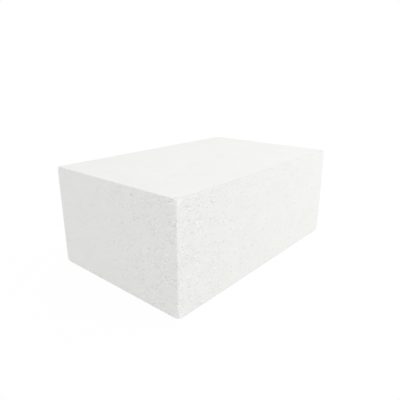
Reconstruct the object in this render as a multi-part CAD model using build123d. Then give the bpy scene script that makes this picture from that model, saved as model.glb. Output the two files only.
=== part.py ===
"""Aerated concrete wall block.

One block, cut by wires from a risen cake and then cured in steam. It stands on its
lower bed face, as it is laid in a wall: its length runs along +X, the wall's thickness
along +Y and the height of one course along +Z. The origin is the middle of the lower
bed face. All sizes are in millimetres.
"""

import os

from build123d import *

# Driving dimensions
block_length = 625.0  # along the wall, from one head face to the other
block_thickness = 400.0  # through the wall, from one wall face to the other
block_height = 250.0  # one course, from the lower bed face to the upper one

# Arrises: the soft stone wears round where its cut faces meet
upright_arris_radius = 3.0  # the four standing edges, which take the knocks in handling
bed_arris_radius = 2.0  # the edges round the two bed faces, which stay nearly sharp


def cut_plan():
    """The outline of the block seen from above, with its standing edges worn round."""
    return RectangleRounded(block_length, block_thickness, upright_arris_radius)


def bed_edges(block):
    """The closed loop of edges round each of the two bed faces."""
    return block.faces().filter_by(Axis.Z).edges()


def make_block():
    """The whole block: the plan raised by one course, with its bed edges eased."""
    raised = extrude(cut_plan(), amount=block_height)
    return fillet(bed_edges(raised), bed_arris_radius)


def main():
    """Writes the block, which is one piece, as one solid."""
    os.makedirs("parts", exist_ok=True)
    export_step(make_block(), os.path.join("parts", "block.step"))


main()
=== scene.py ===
"""Aerated concrete wall block, dressed for its picture.

The block is cut by wires from a risen cake and cured in steam. The wires open the gas pores,
so its upright faces are full of small pits, while the two bed faces are rubbed smooth.
Everything is in metres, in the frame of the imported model: the block stands on the floor with
its length along X, the wall's thickness along Y and the course height along Z.
"""

import math
from collections import namedtuple

import bmesh
import bpy
import numpy as np
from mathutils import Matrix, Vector


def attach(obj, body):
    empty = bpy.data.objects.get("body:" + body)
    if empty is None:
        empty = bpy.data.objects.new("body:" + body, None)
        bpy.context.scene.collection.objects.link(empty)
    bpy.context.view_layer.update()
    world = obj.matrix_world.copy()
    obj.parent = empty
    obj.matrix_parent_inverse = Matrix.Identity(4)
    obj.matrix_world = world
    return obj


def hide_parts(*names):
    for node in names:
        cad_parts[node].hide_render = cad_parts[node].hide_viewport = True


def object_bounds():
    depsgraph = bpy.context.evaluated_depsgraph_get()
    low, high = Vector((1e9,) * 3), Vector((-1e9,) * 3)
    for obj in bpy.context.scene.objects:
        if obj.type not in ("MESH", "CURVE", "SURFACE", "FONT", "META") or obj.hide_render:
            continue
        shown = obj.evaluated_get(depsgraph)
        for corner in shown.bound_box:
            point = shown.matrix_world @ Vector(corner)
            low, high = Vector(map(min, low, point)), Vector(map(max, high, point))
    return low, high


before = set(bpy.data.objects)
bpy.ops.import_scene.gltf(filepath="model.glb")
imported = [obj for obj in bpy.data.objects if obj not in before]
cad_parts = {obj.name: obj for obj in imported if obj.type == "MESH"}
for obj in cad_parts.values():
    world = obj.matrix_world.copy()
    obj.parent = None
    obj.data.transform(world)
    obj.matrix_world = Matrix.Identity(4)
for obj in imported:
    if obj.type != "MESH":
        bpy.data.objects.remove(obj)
cad_low, cad_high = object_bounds()

bl_info = {
    "name": "Aerated Concrete Block",
    "version": (1, 0, 0),
    "blender": (4, 5, 0),
    "location": "View3D > Sidebar > Aerated block",
    "description": "Opens the gas pores of an aerated concrete block and sets it in a pale studio",
    "category": "Mesh",
}

MM = 0.001  # metres
BLOCK_NODE = "block"
PIT_MARK = "pit"  # 1 on the faces inside a pit
ARRIS_MARK = "arris"  # 1 on the faces of the worn edges

# The six sides, each by the way it faces and the two ways that it is unfolded along
SIDES = (
    ((0, 0, 1), (1, 0, 0), (0, 1, 0)),
    ((0, -1, 0), (1, 0, 0), (0, 0, 1)),
    ((0, 1, 0), (-1, 0, 0), (0, 0, 1)),
    ((0, 0, -1), (0, 1, 0), (1, 0, 0)),
    ((-1, 0, 0), (0, -1, 0), (0, 0, 1)),
    ((1, 0, 0), (0, 1, 0), (0, 0, 1)),
)
BAKE_MAP = "OFBake"  # the UV map that a baked texture is laid out on
BAKE_MARGIN = 8 * MM  # left free round each side on that map

# The diced faces
EDGE_CUTS = (2.5 * MM, 5 * MM, 8 * MM, 12 * MM)  # cuts along each edge, where the corners wear
SAME_POINT = 0.01 * MM  # points nearer to each other than this are one
ON_CUT = 0.001 * MM  # a point nearer to a cut than this is on it
ONE_PLANE = math.radians(0.05)  # faces that meet at less than this angle are one
LEAST_WEAR = 0.01 * MM  # a point that would be worn less than this stays
SQUARE_ON = 0.9999  # a face that looks along an axis at least this much is flat, others are arrises

# Where the wire tears the stone
TORN_REACH = (40 * MM, 240 * MM)  # from a torn arris: where the tears begin to thin, and are thinnest
TORN_LEAST = 0.14  # the share that is torn beyond that
DRIFT_WIDTH = 22 * MM  # the tears come in drifts about this wide
DRIFT_NOISE = (0.42, 0.62)  # noise at a drift's edge and at its middle
DRIFT_LEAST = 0.08  # the share that is torn between the drifts
PORES_LEAST = 0.14  # the share of the pores that stays where nothing is torn

# The balls that cut the pits. proud is how far a ball's middle stands out of the face, in radii,
# depth its height against its size, and tumble the most that it is tilted. A ball of two rings is
# a double cone.
Cutter = namedtuple("Cutter", "segments rings proud depth tumble")
BLISTER = Cutter(segments=8, rings=4, proud=(0.15, 0.5), depth=(0.9, 1.0), tumble=0.0)
PORE = Cutter(segments=6, rings=2, proud=(0.15, 0.45), depth=(1.4, 2.1), tumble=0.0)
NICK = Cutter(segments=7, rings=4, proud=(0.65, 0.9), depth=(0.8, 1.2), tumble=math.pi)
PIT_STRETCH = (0.85, 1.2)  # least and most width of a pit against its size, so that few are round

# The stone's grain, and the painted shade and painted highlight laid on it
FADE_TO_BED = (0.55, 0.85)  # how far a face looks up where the grain begins to fade, and has faded
BED_GRAIN = 0.1  # the share of the grain that is left on a bed
GRAIN_WIDTH = 2.4 * MM  # fine pores are under 1 mm across, and are drawn this coarse to show at all
GRAIN_EDGE = (0.8, 0.5)  # distance from a grain's middle, in widths, where it begins and is full
CHALK_CHANCE = (0.72, 0.88)  # the draws that begin to make a grain chalk, and make it pure chalk
HOLLOW_CHANCE = (0.20, 0.04)  # the draws that begin to make a grain a pore, and make it a whole one
PATCH_WIDTH = 45 * MM  # soft patches
PIT_SHADE_WIDTH = 7 * MM  # pits as near as this take about the same painted shade
PIT_SHADE_NOISE = (0.35, 0.65)  # noise where a pit's painted shade is lightest and where it is darkest
PIT_SHADE_LEAST = 0.2  # the share of the pit's colour, which is painted shade, in the lightest pits
GRIT_WIDTH = 1.8 * MM  # grit of the cut face, drawn coarser than it is to show at all
GRIT_HEIGHT = 0.15 * MM
ROUGHNESS = (0.86, 1.0)  # on the face and on the soft patches
SLOPE = (0.1, 0.4)  # how far a standing arris looks up at most, and a bed's arris at least
CORNER_CLEAR = (5 * MM, 14 * MM)  # from a torn arris: where the painted shade on a bed's arris begins, and where it is full
STANDING_HIGHLIGHT = 0.35  # painted highlight on the standing arrises, in the chalk colour

# The studio
FLOOR_REACH = 30.0  # half the side of the floor
FLOOR_ROUGHNESS = 0.9
LAMP_AIM = Vector((0, 0, 0.1))  # the point that the lamps look at
SENSOR_WIDTH = 36  # millimetres
WHITE = (1, 1, 1, 1)


def linear(hex_colour):
    """An sRGB hex colour as linear red, green, blue and full alpha."""
    parts = [int(hex_colour[i:i + 2], 16) / 255 for i in (1, 3, 5)]
    return tuple(p / 12.92 if p <= 0.04045 else ((p + 0.055) / 1.055) ** 2.4 for p in parts) + (1.0,)


def add_node(tree, kind, inputs=None, **settings):
    """Adds a node. An input takes a value, a socket, a node's first output, or a list of these."""
    node = tree.nodes.new(kind)
    for name, value in settings.items():
        setattr(node, name, value)
    for key, value in (inputs or {}).items():
        if isinstance(key, int):
            socket = node.inputs[key]
        else:
            socket = next(s for s in node.inputs if s.enabled and s.name == key)
        for source in value if isinstance(value, list) else [value]:
            if isinstance(source, bpy.types.Node):
                source = next(s for s in source.outputs if s.enabled)
            if isinstance(source, bpy.types.NodeSocket):
                tree.links.new(source, socket)
            else:
                socket.default_value = source
    return node


def length(label, words, default):
    """A length property in metres."""
    return bpy.props.FloatProperty(
        name=label, description=words, default=default, unit="LENGTH", precision=5
    )


def number(label, words, default, **kind):
    """A number property, with a unit or subtype where one fits."""
    return bpy.props.FloatProperty(name=label, description=words, default=default, precision=4, **kind)


def share(label, words, default):
    """A property from 0 to 1."""
    return number(label, words, default, subtype="FACTOR", min=0, max=1)


def place(label, words, default):
    """A point property in metres."""
    return bpy.props.FloatVectorProperty(
        name=label, description=words, default=default, subtype="TRANSLATION"
    )


def colour(label, words, hex_colour):
    """A colour property, written as sRGB hex and kept linear."""
    return bpy.props.FloatVectorProperty(
        name=label, description=words, default=linear(hex_colour), size=4, subtype="COLOR", min=0, max=1
    )


class PoreSizes(bpy.types.PropertyGroup):
    """Sizes of the pits that the wires leave open."""

    blister_least: length("Smallest blister", "Across the ball that cuts the smallest blister", 3.4 * MM)
    blister_most: length("Largest blister", "Across the ball that cuts the largest blister", 5.2 * MM)
    blister_spacing: length("Blister spacing", "Least distance between two blisters", 12 * MM)
    blister_number: number("Blisters", "Blisters tried on a square metre of upright face", 500)
    pore_least: length("Smallest pore", "Across the cone that cuts the smallest pore", 1.5 * MM)
    pore_most: length("Largest pore", "Across the cone that cuts the largest pore", 4.2 * MM)
    pore_spacing: length("Pore spacing", "Least distance between two pores", 2.2 * MM)
    pore_number: number("Pores", "Pores tried on a square metre of upright face", 98000)
    bed_share: share("Share on beds", "Pits on the bed faces against those on the upright faces", 0.04)
    nick_least: length("Smallest nick", "Across the ball that cuts the smallest nick in an arris", 1.6 * MM)
    nick_most: length("Largest nick", "Across the ball that cuts the largest nick in an arris", 3.6 * MM)
    nick_spacing: length("Nick spacing", "Least distance between two nicks", 8 * MM)
    nick_number: number("Nicks", "Nicks tried on a square metre of arris", 9000)
    seed: bpy.props.IntProperty(name="Seed", description="Places the pits", default=4)


class WearSizes(bpy.types.PropertyGroup):
    """Sizes of the wear at the eight corners."""

    cell: length("Cell", "Side of the squares that the faces are diced into", 25 * MM)
    corner_wear: length("Corner wear", "How far a corner of a torn arris is worn in", 2.2 * MM)
    corner_reach: length("Corner reach", "How far the wear spreads from a corner", 8 * MM)
    sound_share: share("Sound corners", "Wear at the corners of the two arrises that aren't torn", 0.4)


class StoneColours(bpy.types.PropertyGroup):
    """Colours of the stone, and of the painted shade and painted highlight laid on it."""

    face: colour("Cut face", "Where the wire has passed", "#F0F0EE")
    shade: colour("Soft patch", "Patches a little darker than the rest", "#EAEAE7")
    # The arris colour is painted shade on the bed arrises, which face the lamps
    arris: colour("Arris", "The worn edges round the beds, dulled by handling", "#E3E3E0")
    # The chalk colour also paints the highlight along the standing arrises
    chalk: colour("Chalk", "Chalk that is rubbed out of the stone", "#FCFCFA")
    hollow: colour("Hollow", "A fine pore, which is in its own shade", "#DBDBD7")
    # The pit colour is painted shade inside the pits
    pit: colour("Pit", "The floor of a large pore", "#EFEFEC")


class StudioSettings(bpy.types.PropertyGroup):
    """Where the camera stands and how the studio is lit."""

    azimuth: number(
        "Azimuth", "Camera's angle round the block, from -Y", math.radians(-49.27), subtype="ANGLE"
    )
    elevation: number(
        "Elevation", "Camera's angle above the floor", math.radians(17.95), subtype="ANGLE"
    )
    distance: length("Distance", "From the camera to the point it looks at", 1.0561)
    aim_along: length("Aim along", "The point looked at, along the block", -0.0162)
    aim_height: length("Aim height", "The point looked at, above the floor", 0.1347)
    lens: number("Lens", "Focal length on a 36 mm sensor", 34.75, unit="CAMERA")
    sky: number("Sky", "Strength of the even light from all round", 0.9731)
    low_lamp: number("Low lamp", "Power of the lamp before the long face", 9.3, unit="POWER")
    low_place: place("Low lamp's place", "Middle of the lamp before the long face", (1.2, -2.2, 0.45))
    top_lamp: number("Top lamp", "Power of the lamp over the long upper arris", 1.82, unit="POWER")
    top_place: place("Top lamp's place", "Middle of the lamp over the long upper arris", (0.45, -0.6, 1.4))
    lamp_size: length("Lamp size", "Side of each square lamp", 0.9)
    floor: colour("Floor", "Paint of the floor", "#999999")
    floor_light: number("Floor light", "Light that the floor gives off by itself", 0.4154)
    glow: share("Floor glow", "Share of the floor's tone that is its own white to the camera", 0.85)
    white: number("Floor white", "Strength of that white, which makes the open floor just white", 1.039)


class BlockSettings(bpy.types.PropertyGroup):
    """All settings of the block and its studio."""

    pores: bpy.props.PointerProperty(type=PoreSizes)
    wear: bpy.props.PointerProperty(type=WearSizes)
    colours: bpy.props.PointerProperty(type=StoneColours)
    studio: bpy.props.PointerProperty(type=StudioSettings)


def torn_arris_distance(tree, spot):
    """Adds the nodes that give the distance in plan from a spot to the nearer torn arris.

    The wire tears the stone where it enters the cake and where it leaves it, which is at the near
    standing arris and at the one opposite.
    """
    level = add_node(tree, "ShaderNodeVectorMath", {0: spot, 1: (1.0, 1.0, 0.0)}, operation="MULTIPLY")
    entry = (cad_low[0], cad_low[1], 0.0)
    leave = (cad_high[0], cad_high[1], 0.0)
    from_entry = add_node(tree, "ShaderNodeVectorMath", {0: level, 1: entry}, operation="DISTANCE")
    from_leave = add_node(tree, "ShaderNodeVectorMath", {0: level, 1: leave}, operation="DISTANCE")
    return add_node(tree, "ShaderNodeMath", {0: from_entry, 1: from_leave}, operation="MINIMUM")


def torn_share(tree, spot):
    """Adds the nodes that say how far the wire has torn the stone open at a spot, from 0 to 1.

    It tears most by the two torn arrises, and in drifts.
    """
    tear = add_node(tree, "ShaderNodeMapRange", {
        "Value": torn_arris_distance(tree, spot),
        "From Min": TORN_REACH[0], "From Max": TORN_REACH[1], "To Min": 1.0, "To Max": TORN_LEAST,
    })
    noise = add_node(tree, "ShaderNodeTexNoise", {"Vector": spot, "Scale": 1 / DRIFT_WIDTH, "Detail": 2.0})
    drift = add_node(tree, "ShaderNodeMapRange", {
        "Value": noise,
        "From Min": DRIFT_NOISE[0], "From Max": DRIFT_NOISE[1], "To Min": DRIFT_LEAST, "To Max": 1.0,
    })
    return add_node(tree, "ShaderNodeMath", {0: tear, 1: drift}, operation="MULTIPLY")


def cut_pits(tree, body, sizes, cutter, density, keep, seed):
    """Adds the nodes that scatter one kind of cutter over the faces, and returns the cutters.

    A cutter stands proud of the face, so a pit is widest at its mouth. density is the share of the
    pits that is tried on each face, and keep the share of these that stays at each spot.
    """
    least, most, spacing, tried = sizes
    spots = add_node(tree, "GeometryNodeDistributePointsOnFaces", {
        "Mesh": body, "Distance Min": spacing, "Density Max": tried, "Density Factor": density, "Seed": seed,
    }, distribute_method="POISSON")
    luck = add_node(tree, "FunctionNodeRandomValue", {"Seed": seed + 6}, data_type="FLOAT")
    lost = add_node(tree, "ShaderNodeMath", {0: luck, 1: keep}, operation="GREATER_THAN")
    thinned = add_node(tree, "GeometryNodeDeleteGeometry", {
        "Geometry": spots, "Selection": lost,
    }, domain="POINT")

    # Small pits are common and large ones rare
    chance = add_node(tree, "FunctionNodeRandomValue", {"Seed": seed + 1}, data_type="FLOAT")
    few_large = add_node(tree, "ShaderNodeMath", {0: chance, 1: 2.0}, operation="POWER")
    across = add_node(tree, "ShaderNodeMapRange", {"Value": few_large, "To Min": least, "To Max": most})
    proud = add_node(tree, "FunctionNodeRandomValue", {
        "Min": cutter.proud[0] / 2, "Max": cutter.proud[1] / 2, "Seed": seed + 2,
    }, data_type="FLOAT")
    rise = add_node(tree, "ShaderNodeMath", {0: across, 1: proud}, operation="MULTIPLY")
    offset = add_node(tree, "ShaderNodeVectorMath", {
        0: spots.outputs["Normal"], "Scale": rise,
    }, operation="SCALE")
    raised = add_node(tree, "GeometryNodeSetPosition", {"Geometry": thinned, "Offset": offset})
    spread = add_node(tree, "FunctionNodeRandomValue", {
        "Min": (PIT_STRETCH[0], PIT_STRETCH[0], cutter.depth[0]),
        "Max": (PIT_STRETCH[1], PIT_STRETCH[1], cutter.depth[1]),
        "Seed": seed + 3,
    }, data_type="FLOAT_VECTOR")
    scale = add_node(tree, "ShaderNodeVectorMath", {0: spread, "Scale": across}, operation="SCALE")

    turn = add_node(tree, "FunctionNodeRandomValue", {
        "Min": (-cutter.tumble, -cutter.tumble, 0.0),
        "Max": (cutter.tumble, cutter.tumble, 2 * math.pi),
        "Seed": seed + 4,
    }, data_type="FLOAT_VECTOR")
    spin = add_node(tree, "FunctionNodeEulerToRotation", {"Euler": turn})
    facing = add_node(tree, "FunctionNodeRotateRotation", {
        "Rotation": spots.outputs["Rotation"], "Rotate By": spin,
    }, rotation_space="LOCAL")

    ball = add_node(tree, "GeometryNodeMeshUVSphere", {
        "Segments": cutter.segments, "Rings": cutter.rings, "Radius": 0.5,
    })
    marked = add_node(tree, "GeometryNodeStoreNamedAttribute", {
        "Geometry": ball, "Name": PIT_MARK, "Value": 1.0,
    }, data_type="FLOAT", domain="FACE")
    return add_node(tree, "GeometryNodeInstanceOnPoints", {
        "Points": raised, "Instance": marked, "Rotation": facing, "Scale": scale,
    })


def grid_steps(low, high, cell):
    """Where a grid crosses one axis: evenly along it, and closer together near its two ends."""
    count = round((high - low) / cell)
    even = [low + (high - low) * step / count for step in range(1, count)]
    return sorted(even + [low + gap for gap in EDGE_CUTS] + [high - gap for gap in EDGE_CUTS])


def dice(work, cell):
    """Cuts a mesh along a grid, so that each face takes only a few pits and corners can be worn."""
    bmesh.ops.remove_doubles(work, verts=work.verts, dist=SAME_POINT)
    bmesh.ops.dissolve_limit(work, angle_limit=ONE_PLANE, verts=work.verts, edges=work.edges)
    for axis in range(3):
        across = Vector((0, 0, 0))
        across[axis] = 1
        for step in grid_steps(cad_low[axis], cad_high[axis], cell):
            everything = work.verts[:] + work.edges[:] + work.faces[:]
            bmesh.ops.bisect_plane(
                work, geom=everything, dist=ON_CUT, plane_co=across * step, plane_no=across
            )


def wear_corners(work, wear):
    """Pushes the eight corners in, each along its own diagonal and with a soft edge."""
    middle = (Vector(cad_low) + Vector(cad_high)) / 2
    half = (Vector(cad_high) - Vector(cad_low)) / 2
    for vertex in work.verts:
        out = vertex.co - middle
        side = Vector(math.copysign(1, part) for part in out)
        gap = Vector(half[i] - abs(out[i]) for i in range(3))
        torn = side.x == side.y
        depth = wear.corner_wear * (1 if torn else wear.sound_share)
        push = depth * math.exp(-gap.length_squared / wear.corner_reach ** 2)
        if push > LEAST_WEAR:
            vertex.co -= side.normalized() * push


def diced_block(wear):
    """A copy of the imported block, diced into cells and worn at its corners."""
    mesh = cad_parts[BLOCK_NODE].data.copy()
    mesh.materials.clear()
    for layer in ("custom_normal", "sharp_edge"):
        if layer in mesh.attributes:
            mesh.attributes.remove(mesh.attributes[layer])
    work = bmesh.new()
    work.from_mesh(mesh)
    dice(work, wear.cell)
    wear_corners(work, wear)
    work.to_mesh(mesh)
    work.free()
    return bpy.data.objects.new("raw_block", mesh)


def kinds_of_face(tree):
    """Adds the nodes that tell the flat faces, the worn arrises and the beds, each as 0 or 1."""
    normal = add_node(tree, "GeometryNodeInputNormal")
    facing = add_node(tree, "ShaderNodeVectorMath", {0: normal}, operation="ABSOLUTE")
    parts = add_node(tree, "ShaderNodeSeparateXYZ", {"Vector": facing}).outputs
    level = add_node(tree, "ShaderNodeMath", {0: parts["X"], 1: parts["Y"]}, operation="MAXIMUM")
    most = add_node(tree, "ShaderNodeMath", {0: level, 1: parts["Z"]}, operation="MAXIMUM")
    flat = add_node(tree, "ShaderNodeMath", {0: most, 1: SQUARE_ON}, operation="GREATER_THAN")
    worn = add_node(tree, "ShaderNodeMath", {0: 1.0, 1: flat}, operation="SUBTRACT")
    bed = add_node(tree, "ShaderNodeMath", {0: parts["Z"], 1: 0.5}, operation="GREATER_THAN")
    return flat, worn, bed


def pore_tree(size_names, seed):
    """The tree that opens the pores of a block and nicks its arrises, with an input for each size."""
    tree = bpy.data.node_groups.new("open_pores", "GeometryNodeTree")
    tree.interface.new_socket("Geometry", in_out="INPUT", socket_type="NodeSocketGeometry")
    for name in size_names:
        tree.interface.new_socket(name, in_out="INPUT", socket_type="NodeSocketFloat")
    tree.interface.new_socket("stone", in_out="INPUT", socket_type="NodeSocketMaterial")
    tree.interface.new_socket("Geometry", in_out="OUTPUT", socket_type="NodeSocketGeometry")
    given = add_node(tree, "NodeGroupInput").outputs
    body = given["Geometry"]

    def sizes_of(kind):
        return [given[kind + part] for part in ("_least", "_most", "_spacing", "_number")]

    flat, worn, bed = kinds_of_face(tree)
    on_face = add_node(tree, "ShaderNodeMapRange", {
        "Value": bed, "To Min": 1.0, "To Max": given["bed_share"],
    })
    on_face = add_node(tree, "ShaderNodeMath", {0: on_face, 1: flat}, operation="MULTIPLY")
    spot = add_node(tree, "GeometryNodeInputPosition")
    kept = add_node(tree, "ShaderNodeMapRange", {
        "Value": torn_share(tree, spot), "To Min": PORES_LEAST, "To Max": 1.0,
    })
    blisters = cut_pits(tree, body, sizes_of("blister"), BLISTER, on_face, 1.0, seed)
    pores = cut_pits(tree, body, sizes_of("pore"), PORE, on_face, kept, seed + 10)
    nicks = cut_pits(tree, body, sizes_of("nick"), NICK, worn, 1.0, seed + 20)

    edged = add_node(tree, "GeometryNodeStoreNamedAttribute", {
        "Geometry": body, "Name": ARRIS_MARK, "Value": worn,
    }, data_type="FLOAT", domain="FACE")
    opened = add_node(tree, "GeometryNodeMeshBoolean", {
        "Mesh 1": edged, "Mesh 2": [blisters, pores, nicks],
    }, operation="DIFFERENCE", solver="MANIFOLD")
    rounded = add_node(tree, "GeometryNodeSetShadeSmooth", {
        "Geometry": opened, "Selection": worn, "Shade Smooth": True,
    })
    sharp = add_node(tree, "GeometryNodeSetShadeSmooth", {
        "Geometry": rounded, "Selection": flat, "Shade Smooth": False,
    })
    whole = add_node(tree, "GeometryNodeRealizeInstances", {"Geometry": sharp})
    faced = add_node(tree, "GeometryNodeSetMaterial", {"Geometry": whole, "Material": given["stone"]})
    add_node(tree, "NodeGroupOutput", {"Geometry": faced})
    return tree


def sides_of_faces(mesh):
    """Which of SIDES each face of the mesh belongs to. A pit belongs to the side that it opens on."""
    count = len(mesh.polygons)
    centre = np.empty(count * 3)
    mesh.polygons.foreach_get("center", centre)
    centre = centre.reshape(-1, 3)
    normal = np.empty(count * 3)
    mesh.polygons.foreach_get("normal", normal)
    normal = normal.reshape(-1, 3)
    in_pit = np.empty(count)
    mesh.attributes[PIT_MARK].data.foreach_get("value", in_pit)
    facing = []
    depth = []
    for out, _, _ in SIDES:
        furthest = max(np.dot(out, cad_low), np.dot(out, cad_high))
        facing.append(normal @ out)
        depth.append(furthest - centre @ out)
    facing = np.array(facing)
    opening = np.where(facing > 0, np.array(depth), np.inf)
    return np.where(in_pit > 0.5, opening.argmin(axis=0), facing.argmax(axis=0))


def unfold(mesh):
    """Lays the six sides flat on one square, as a UV map, with each pit seen from straight above."""
    corners = np.empty(len(mesh.polygons), dtype=np.int32)
    mesh.polygons.foreach_get("loop_total", corners)
    side_of_corner = np.repeat(sides_of_faces(mesh), corners)
    vertex = np.empty(len(mesh.loops), dtype=np.int32)
    mesh.loops.foreach_get("vertex_index", vertex)
    points = np.empty(len(mesh.vertices) * 3)
    mesh.vertices.foreach_get("co", points)
    points = points.reshape(-1, 3)[vertex]

    spots = np.zeros((len(vertex), 2))
    reach = 0.0
    left = BAKE_MARGIN
    for column in (SIDES[:3], SIDES[3:]):
        low = BAKE_MARGIN
        widest = 0.0
        for side in column:
            plane = np.array(side[1:]).T
            ends = np.array((cad_low, cad_high)) @ plane
            width, height = ends.max(axis=0) - ends.min(axis=0)
            chosen = side_of_corner == SIDES.index(side)
            spots[chosen] = points[chosen] @ plane - ends.min(axis=0) + (left, low)
            low += height + BAKE_MARGIN
            widest = max(widest, width)
        left += widest + BAKE_MARGIN
        reach = max(reach, low, left)
    layer = mesh.uv_layers.new(name=BAKE_MAP)
    layer.uv.foreach_set("vector", (spots / reach).astype(np.float32).ravel())


def chalk_and_hollows(tree, spot):
    """Adds the nodes that draw the grains of chalk and the fine pores, each as a share from 0 to 1."""
    grains = add_node(tree, "ShaderNodeTexVoronoi", {"Vector": spot, "Scale": 1 / GRAIN_WIDTH}).outputs
    chance = add_node(tree, "ShaderNodeSeparateColor", {"Color": grains["Color"]}).outputs["Red"]
    middle = add_node(tree, "ShaderNodeMapRange", {
        "Value": grains["Distance"], "From Min": GRAIN_EDGE[0], "From Max": GRAIN_EDGE[1],
    }, interpolation_type="SMOOTHSTEP")
    chalk = add_node(tree, "ShaderNodeMapRange", {
        "Value": chance, "From Min": CHALK_CHANCE[0], "From Max": CHALK_CHANCE[1],
    })
    chalk = add_node(tree, "ShaderNodeMath", {0: chalk, 1: middle}, operation="MULTIPLY")
    hollow = add_node(tree, "ShaderNodeMapRange", {
        "Value": chance, "From Min": HOLLOW_CHANCE[0], "From Max": HOLLOW_CHANCE[1],
    })
    hollow = add_node(tree, "ShaderNodeMath", {0: hollow, 1: middle}, operation="MULTIPLY")
    return chalk, hollow


def kinds_of_arris(tree, spot, upward):
    """Adds the nodes that tell the bed arrises and the standing ones, from 0 to 1.

    The bed arrises take painted shade, and the standing ones a painted highlight. By the torn
    arrises a bed's arris takes no painted shade.
    """
    rubbed = add_node(tree, "ShaderNodeAttribute", attribute_name=ARRIS_MARK).outputs["Fac"]
    tilted = add_node(tree, "ShaderNodeMapRange", {
        "Value": upward, "From Min": SLOPE[0], "From Max": SLOPE[1],
    })
    sloping = add_node(tree, "ShaderNodeMath", {0: rubbed, 1: tilted}, operation="MULTIPLY")
    off_corner = add_node(tree, "ShaderNodeMapRange", {
        "Value": torn_arris_distance(tree, spot), "From Min": CORNER_CLEAR[0], "From Max": CORNER_CLEAR[1],
    })
    # Painted shade on the bed arrises, kept off the corners by the torn arrises
    painted_arris_shade = add_node(tree, "ShaderNodeMath", {0: sloping, 1: off_corner}, operation="MULTIPLY")
    standing = add_node(tree, "ShaderNodeMath", {0: rubbed, 1: sloping}, operation="SUBTRACT")
    return painted_arris_shade, standing


def pit_painted_shade(tree, spot):
    """Adds the nodes that say how much painted shade, in the pit's colour, a pit has, from 0 to 1."""
    pit = add_node(tree, "ShaderNodeAttribute", attribute_name=PIT_MARK).outputs["Fac"]
    noise = add_node(tree, "ShaderNodeTexNoise", {"Vector": spot, "Scale": 1 / PIT_SHADE_WIDTH, "Detail": 0.0})
    pit_shade_amount = add_node(tree, "ShaderNodeMapRange", {
        "Value": noise,
        "From Min": PIT_SHADE_NOISE[0], "From Max": PIT_SHADE_NOISE[1], "To Min": PIT_SHADE_LEAST, "To Max": 1.0,
    })
    return add_node(tree, "ShaderNodeMath", {0: pit, 1: pit_shade_amount}, operation="MULTIPLY")


def wire_cut_stone(colours):
    """Aerated concrete, wire-cut: a chalky white that scatters all light, speckled by open pores."""
    material = bpy.data.materials.new("aerated_concrete_wire_cut")
    material.use_nodes = True
    tree = material.node_tree
    shader = tree.nodes["Principled BSDF"]
    shader.inputs["IOR"].default_value = 1.5
    shader.inputs["Specular IOR Level"].default_value = 0.2
    coordinates = add_node(tree, "ShaderNodeTexCoord").outputs
    spot = coordinates["Object"]

    # The bed faces are rubbed, so most of the grain is on the upright faces
    facing = add_node(tree, "ShaderNodeVectorMath", {0: coordinates["Normal"]}, operation="ABSOLUTE")
    upward = add_node(tree, "ShaderNodeSeparateXYZ", {"Vector": facing}).outputs["Z"]
    upright = add_node(tree, "ShaderNodeMapRange", {
        "Value": upward,
        "From Min": FADE_TO_BED[0], "From Max": FADE_TO_BED[1], "To Min": 1.0, "To Max": BED_GRAIN,
    })
    torn = add_node(tree, "ShaderNodeMath", {0: torn_share(tree, spot), 1: upright}, operation="MULTIPLY")
    chalk, hollow = chalk_and_hollows(tree, spot)
    chalk = add_node(tree, "ShaderNodeMath", {0: chalk, 1: torn}, operation="MULTIPLY")
    hollow = add_node(tree, "ShaderNodeMath", {0: hollow, 1: torn}, operation="MULTIPLY")
    painted_arris_shade, standing = kinds_of_arris(tree, spot, upward)
    # Painted highlight: the standing arrises are lightened with the chalk colour, over the chalk grains
    chalk = add_node(tree, "ShaderNodeMath", {
        0: standing, 1: STANDING_HIGHLIGHT, 2: chalk,
    }, operation="MULTIPLY_ADD", use_clamp=True)

    # Each layer of colour lies over the one before
    patches = add_node(tree, "ShaderNodeTexNoise", {"Vector": spot, "Scale": 1 / PATCH_WIDTH, "Detail": 3.0})
    base = tuple(colours.face)
    layers = (
        (patches, colours.shade),
        # painted shade on the bed arrises
        (painted_arris_shade, colours.arris),
        # chalk grains, and the painted highlight along the standing arrises
        (chalk, colours.chalk),
        (hollow, colours.hollow),
        # painted shade inside the pits
        (pit_painted_shade(tree, spot), colours.pit),
    )
    for amount, tone in layers:
        base = add_node(tree, "ShaderNodeMix", {
            "Factor": amount, "A": base, "B": tuple(tone),
        }, data_type="RGBA").outputs["Result"]
    tree.links.new(base, shader.inputs["Base Color"])

    dull = add_node(tree, "ShaderNodeMapRange", {
        "Value": patches, "To Min": ROUGHNESS[0], "To Max": ROUGHNESS[1],
    })
    tree.links.new(dull.outputs["Result"], shader.inputs["Roughness"])
    grit = add_node(tree, "ShaderNodeTexNoise", {"Vector": spot, "Scale": 1 / GRIT_WIDTH, "Detail": 2.0})
    height = add_node(tree, "ShaderNodeMath", {0: grit, 1: hollow}, operation="SUBTRACT")
    relief = add_node(tree, "ShaderNodeBump", {
        "Height": height, "Strength": upright, "Distance": GRIT_HEIGHT,
    })
    tree.links.new(relief.outputs["Normal"], shader.inputs["Normal"])
    return material


def seen_straight(tree):
    """Adds the nodes that give 1 to a ray from the camera, a mirror or clear glass, and else 0."""
    path = add_node(tree, "ShaderNodeLightPath").outputs
    seen = add_node(tree, "ShaderNodeMath", {
        0: path["Is Camera Ray"], 1: path["Is Glossy Ray"],
    }, operation="MAXIMUM")
    return add_node(tree, "ShaderNodeMath", {
        0: seen, 1: path["Is Transmission Ray"],
    }, operation="MAXIMUM")


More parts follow.
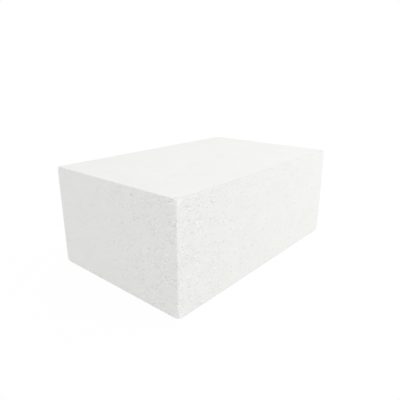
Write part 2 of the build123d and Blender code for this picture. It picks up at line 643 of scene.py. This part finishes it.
def studio_floor_paint(settings):
    """Painted studio floor: white to the camera, with the block's soft shadow left on it."""
    material = bpy.data.materials.new("studio_floor_paint")
    material.use_nodes = True
    tree = material.node_tree
    paint = tree.nodes["Principled BSDF"]
    paint.inputs["Base Color"].default_value = tuple(settings.floor)
    paint.inputs["Roughness"].default_value = FLOOR_ROUGHNESS
    paint.inputs["Emission Color"].default_value = WHITE
    paint.inputs["Emission Strength"].default_value = settings.floor_light
    white = add_node(tree, "ShaderNodeEmission", {"Strength": settings.white})
    glow = add_node(tree, "ShaderNodeMath", {0: seen_straight(tree), 1: settings.glow}, operation="MULTIPLY")
    mixed = add_node(tree, "ShaderNodeMixShader", {0: glow, 1: paint.outputs["BSDF"], 2: white})
    tree.links.new(mixed.outputs["Shader"], tree.nodes["Material Output"].inputs["Surface"])
    return material


def lay_floor(scene, settings):
    """Lays a floor that reaches far past the picture."""
    turns = ((-1, -1), (1, -1), (1, 1), (-1, 1))
    mesh = bpy.data.meshes.new("studio_floor")
    mesh.from_pydata([(x * FLOOR_REACH, y * FLOOR_REACH, 0) for x, y in turns], [], [(0, 1, 2, 3)])
    mesh.materials.append(studio_floor_paint(settings))
    floor = bpy.data.objects.new("studio_floor", mesh)
    scene.collection.objects.link(floor)


def light_sky(scene, settings):
    """Lights an even sky, which is white where it is seen straight."""
    world = bpy.data.worlds.new("studio_sky")
    world.use_nodes = True
    tree = world.node_tree
    strength = add_node(tree, "ShaderNodeMapRange", {
        "Value": seen_straight(tree), "To Min": settings.sky, "To Max": 1.0,
    })
    backdrop = tree.nodes["Background"]
    backdrop.inputs["Color"].default_value = WHITE
    tree.links.new(strength.outputs["Result"], backdrop.inputs["Strength"])
    scene.world = world


def hang_lamp(scene, name, watts, spot, size):
    """Hangs a square lamp that looks at the block and isn't seen itself."""
    light = bpy.data.lights.new(name, "AREA")
    light.energy = watts
    light.size = size
    lamp = bpy.data.objects.new(name, light)
    lamp.location = spot
    lamp.rotation_euler = (LAMP_AIM - lamp.location).to_track_quat("-Z", "Y").to_euler()
    lamp.visible_camera = False
    scene.collection.objects.link(lamp)


def stand_camera(scene, settings):
    """Stands the camera before the near standing arris."""
    back = Vector((
        math.sin(settings.azimuth) * math.cos(settings.elevation),
        -math.cos(settings.azimuth) * math.cos(settings.elevation),
        math.sin(settings.elevation),
    ))
    lens = bpy.data.cameras.new("camera")
    lens.lens = settings.lens
    lens.sensor_width = SENSOR_WIDTH
    camera = bpy.data.objects.new("camera", lens)
    camera.location = Vector((settings.aim_along, 0, settings.aim_height)) + back * settings.distance
    camera.rotation_euler = (-back).to_track_quat("-Z", "Y").to_euler()
    scene.collection.objects.link(camera)
    scene.camera = camera


class MESH_OT_aerated_block(bpy.types.Operator):
    """Opens the pores of the block and gives it its stone"""

    bl_idname = "mesh.aerated_block"
    bl_label = "Make the aerated block"

    def execute(self, context):
        settings = context.scene.aerated_block
        size_names = [name for name in PoreSizes.__annotations__ if name != "seed"]
        given = {name: getattr(settings.pores, name) for name in size_names}
        given["stone"] = wire_cut_stone(settings.colours)
        tree = pore_tree(size_names, settings.pores.seed)
        raw = diced_block(settings.wear)
        context.scene.collection.objects.link(raw)
        modifier = raw.modifiers.new("open_pores", "NODES")
        modifier.node_group = tree
        for item in tree.interface.items_tree:
            if item.in_out == "INPUT" and item.name in given:
                modifier[item.identifier] = given[item.name]
        graph = context.evaluated_depsgraph_get()
        mesh = bpy.data.meshes.new_from_object(raw.evaluated_get(graph), depsgraph=graph)
        raw.modifiers.remove(modifier)
        bpy.data.objects.remove(raw)
        if not mesh.polygons:
            raise RuntimeError("Opening the pores left nothing of the block")
        mesh.name = "aerated_block"
        unfold(mesh)
        block = bpy.data.objects.new("aerated_block", mesh)
        context.scene.collection.objects.link(block)
        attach(block, "root")
        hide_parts(BLOCK_NODE)
        return {"FINISHED"}


class SCENE_OT_block_studio(bpy.types.Operator):
    """Lays the floor, lights the block and stands the camera"""

    bl_idname = "scene.block_studio"
    bl_label = "Set the studio"

    def execute(self, context):
        scene = context.scene
        settings = scene.aerated_block.studio
        scene.view_settings.view_transform = "Standard"
        lay_floor(scene, settings)
        light_sky(scene, settings)
        hang_lamp(scene, "low_lamp", settings.low_lamp, settings.low_place, settings.lamp_size)
        hang_lamp(scene, "top_lamp", settings.top_lamp, settings.top_place, settings.lamp_size)
        stand_camera(scene, settings)
        return {"FINISHED"}


class VIEW3D_PT_aerated_block(bpy.types.Panel):
    """Lists the settings and the two steps"""

    bl_label = "Aerated block"
    bl_space_type = "VIEW_3D"
    bl_region_type = "UI"
    bl_category = "Aerated block"

    def draw(self, context):
        settings = context.scene.aerated_block
        for group in (settings.pores, settings.wear, settings.colours, settings.studio):
            box = self.layout.box()
            for key in group.__annotations__:
                box.prop(group, key)
        self.layout.operator(MESH_OT_aerated_block.bl_idname)
        self.layout.operator(SCENE_OT_block_studio.bl_idname)


CLASSES = (
    PoreSizes,
    WearSizes,
    StoneColours,
    StudioSettings,
    BlockSettings,
    MESH_OT_aerated_block,
    SCENE_OT_block_studio,
    VIEW3D_PT_aerated_block,
)


def register():
    """Registers the classes and hangs the settings on the scene."""
    for one in CLASSES:
        bpy.utils.register_class(one)
    bpy.types.Scene.aerated_block = bpy.props.PointerProperty(type=BlockSettings)


def unregister():
    """Takes away what register added."""
    del bpy.types.Scene.aerated_block
    for one in reversed(CLASSES):
        bpy.utils.unregister_class(one)


def main():
    """Makes the block and its studio."""
    register()
    bpy.ops.mesh.aerated_block()
    bpy.ops.scene.block_studio()


if __name__ == "__main__":
    main()
